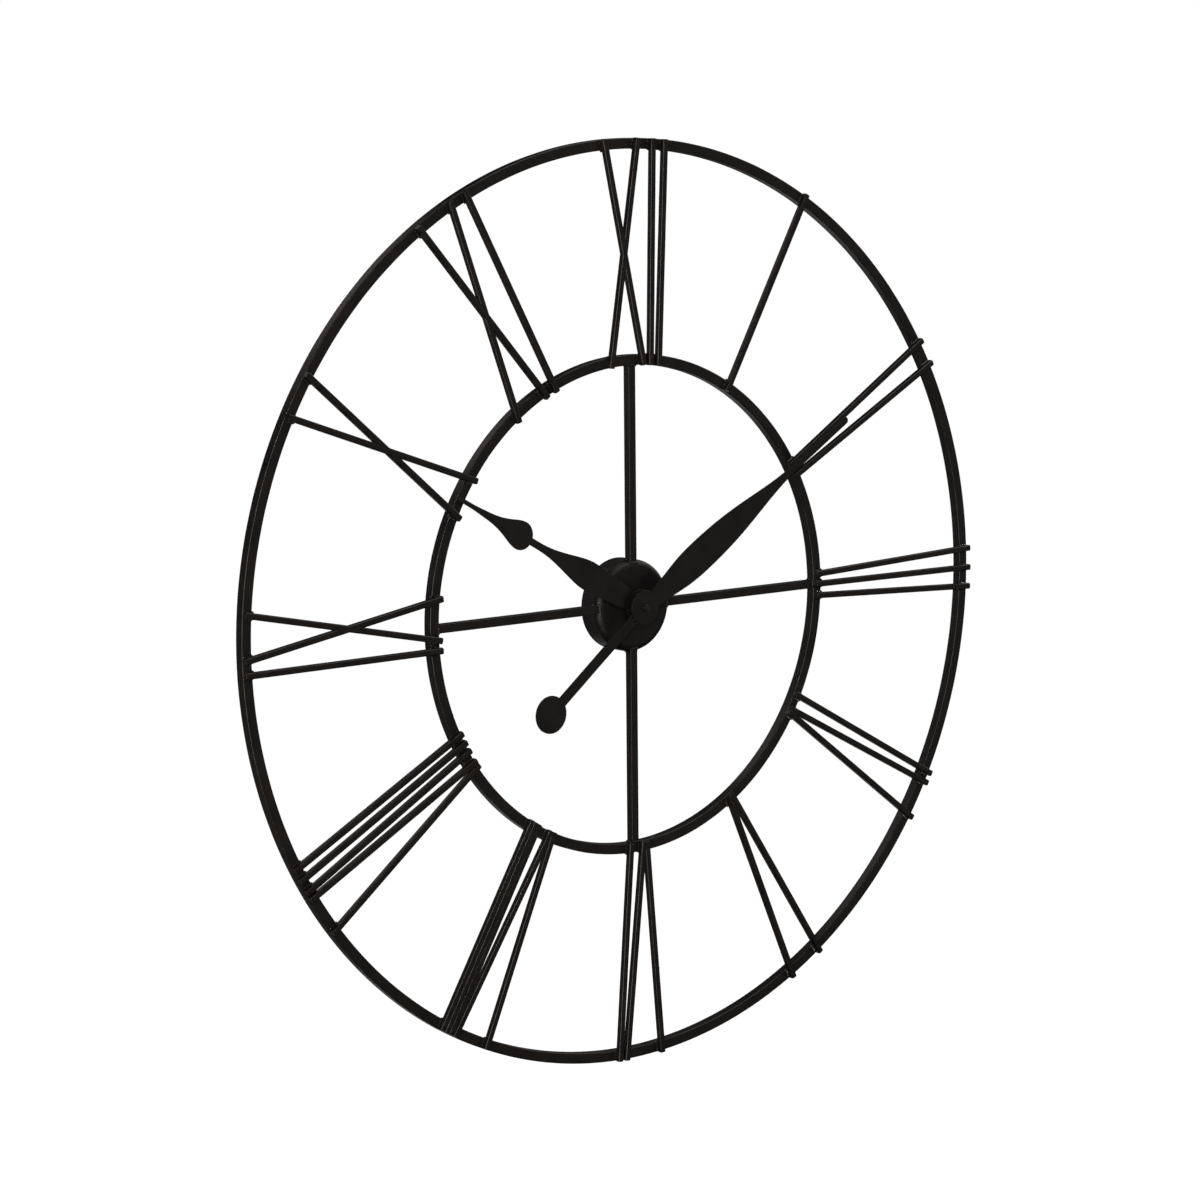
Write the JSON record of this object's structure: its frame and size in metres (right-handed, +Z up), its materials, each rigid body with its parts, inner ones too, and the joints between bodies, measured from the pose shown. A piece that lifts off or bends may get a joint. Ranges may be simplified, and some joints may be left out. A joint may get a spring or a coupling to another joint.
{
  "type": "wall clock",
  "caption": "Open-work iron wall clock with bar Roman numerals between concentric rings, sheet hands, and a quartz movement in a round cup with a keyhole hanger.",
  "frame": {"origin": "centre of the keyhole's round hole, on the wall plane (rear faces of the hanger plate and cup rim)", "axes": "+Z up, -Y towards the viewer (front of the clock), +Y into the wall, +X to the viewer's right when facing the dial"},
  "size_m": [0.9604, 0.0501, 0.9604],
  "materials": {
    "ring_iron": "satin black paint over forged bar",
    "bar_iron": "satin black paint",
    "numeral_iron": "satin black paint",
    "cup_steel": "semi-gloss black paint",
    "hanger_steel": "satin black paint, worn at the keyhole",
    "hand_steel": "satin black paint on sheet",
    "cap_steel": "semi-gloss black",
    "weld_metal": "glossy paint over weld",
    "case_plastic": "fine moulded texture",
    "train_plastic": "natural moulded",
    "knob_plastic": "moulded",
    "battery_sleeve": "printed shrink sleeve, plain",
    "bright_steel": "zinc plated",
    "core_steel": "silicon steel",
    "brass": "turned",
    "copper_wire": "enamelled copper winding",
    "board_resin": "green solder mask",
    "chip_resin": "black resin",
    "rubber": "matt",
    "magnet": "sintered"
  },
  "bodies": {
    "frame": {"outer_ring": "ring_iron", "inner_ring": "ring_iron", "crossbar_top": "bar_iron", "crossbar_right": "bar_iron", "crossbar_bottom": "bar_iron", "crossbar_left": "bar_iron", "numeral_01": "numeral_iron", "numeral_02": "numeral_iron", "numeral_03": "numeral_iron", "numeral_04": "numeral_iron", "numeral_05": "numeral_iron", "numeral_06": "numeral_iron", "numeral_07": "numeral_iron", "numeral_08": "numeral_iron", "numeral_09": "numeral_iron", "numeral_10": "numeral_iron", "numeral_11": "numeral_iron", "numeral_12": "numeral_iron", "movement_cup": "cup_steel", "hanger_plate": "hanger_steel", "case_shell": "case_plastic", "rear_plate": "train_plastic", "plate_screws": "bright_steel", "back_cover": "case_plastic", "battery": "battery_sleeve", "battery_contact_positive": "bright_steel", "battery_contact_negative": "bright_steel", "circuit_board": "board_resin", "board_parts": "chip_resin", "coil_bobbin": "train_plastic", "coil_winding": "copper_wire", "stator": "core_steel", "threaded_sleeve": "brass", "rubber_gasket": "rubber", "brass_washer": "brass", "hex_nut": "brass"},
    "minute": {"minute_hand": "hand_steel", "counterweight": "hand_steel", "counterweight_tacks": "weld_metal", "minute_collar": "hand_steel", "cap_nut": "cap_steel", "minute_shaft": "brass", "centre_wheel": "train_plastic"},
    "hour": {"hour_hand": "hand_steel", "hour_collar": "hand_steel", "hour_wheel": "train_plastic"},
    "motion_gear": {"minute_wheel": "train_plastic"},
    "knob": {"setting_knob": "knob_plastic"},
    "third_gear": {"third_wheel": "train_plastic"},
    "fourth_gear": {"fourth_wheel": "train_plastic"},
    "fifth_gear": {"fifth_wheel": "train_plastic"},
    "rotor": {"rotor": "magnet"}
  },
  "joints": [
    {"name": "minute_hand_turn", "type": "hinge", "parent": "frame", "child": "minute", "pos_m": [0, -0.0453, -0.037], "axis": [0, 1, 0], "continuous": true},
    {"name": "hour_hand_turn", "type": "hinge", "parent": "frame", "child": "hour", "pos_m": [0, -0.0373, -0.037], "axis": [0, 1, 0], "continuous": true},
    {"name": "minute_wheel_turn", "type": "hinge", "parent": "frame", "child": "motion_gear", "pos_m": [-0.00636, -0.0213, -0.03064], "axis": [0, 1, 0], "continuous": true},
    {"name": "setting_knob_turn", "type": "hinge", "parent": "frame", "child": "knob", "pos_m": [-0.01536, -0.0075, -0.03064], "axis": [0, 1, 0], "continuous": true},
    {"name": "third_wheel_turn", "type": "hinge", "parent": "frame", "child": "third_gear", "pos_m": [0.0045, -0.01715, -0.02921], "axis": [0, 1, 0], "continuous": true},
    {"name": "fourth_wheel_turn", "type": "hinge", "parent": "frame", "child": "fourth_gear", "pos_m": [0.01249, -0.0153, -0.0263], "axis": [0, 1, 0], "continuous": true},
    {"name": "fifth_wheel_turn", "type": "hinge", "parent": "frame", "child": "fifth_gear", "pos_m": [0.01127, -0.01355, -0.0194], "axis": [0, 1, 0], "continuous": true},
    {"name": "rotor_turn", "type": "hinge", "parent": "frame", "child": "rotor", "pos_m": [0.00527, -0.0203, -0.0194], "axis": [0, 1, 0], "continuous": true}
  ],
  "couplings": [
    {"joint": "hour_hand_turn", "follows": "minute_hand_turn", "ratio": 0.083333},
    {"joint": "minute_wheel_turn", "follows": "minute_hand_turn", "ratio": -0.33333},
    {"joint": "setting_knob_turn", "follows": "minute_hand_turn", "ratio": 1},
    {"joint": "third_wheel_turn", "follows": "minute_hand_turn", "ratio": -8},
    {"joint": "fourth_wheel_turn", "follows": "minute_hand_turn", "ratio": 60},
    {"joint": "fifth_wheel_turn", "follows": "minute_hand_turn", "ratio": -360},
    {"joint": "rotor_turn", "follows": "minute_hand_turn", "ratio": 1800}
  ]
}
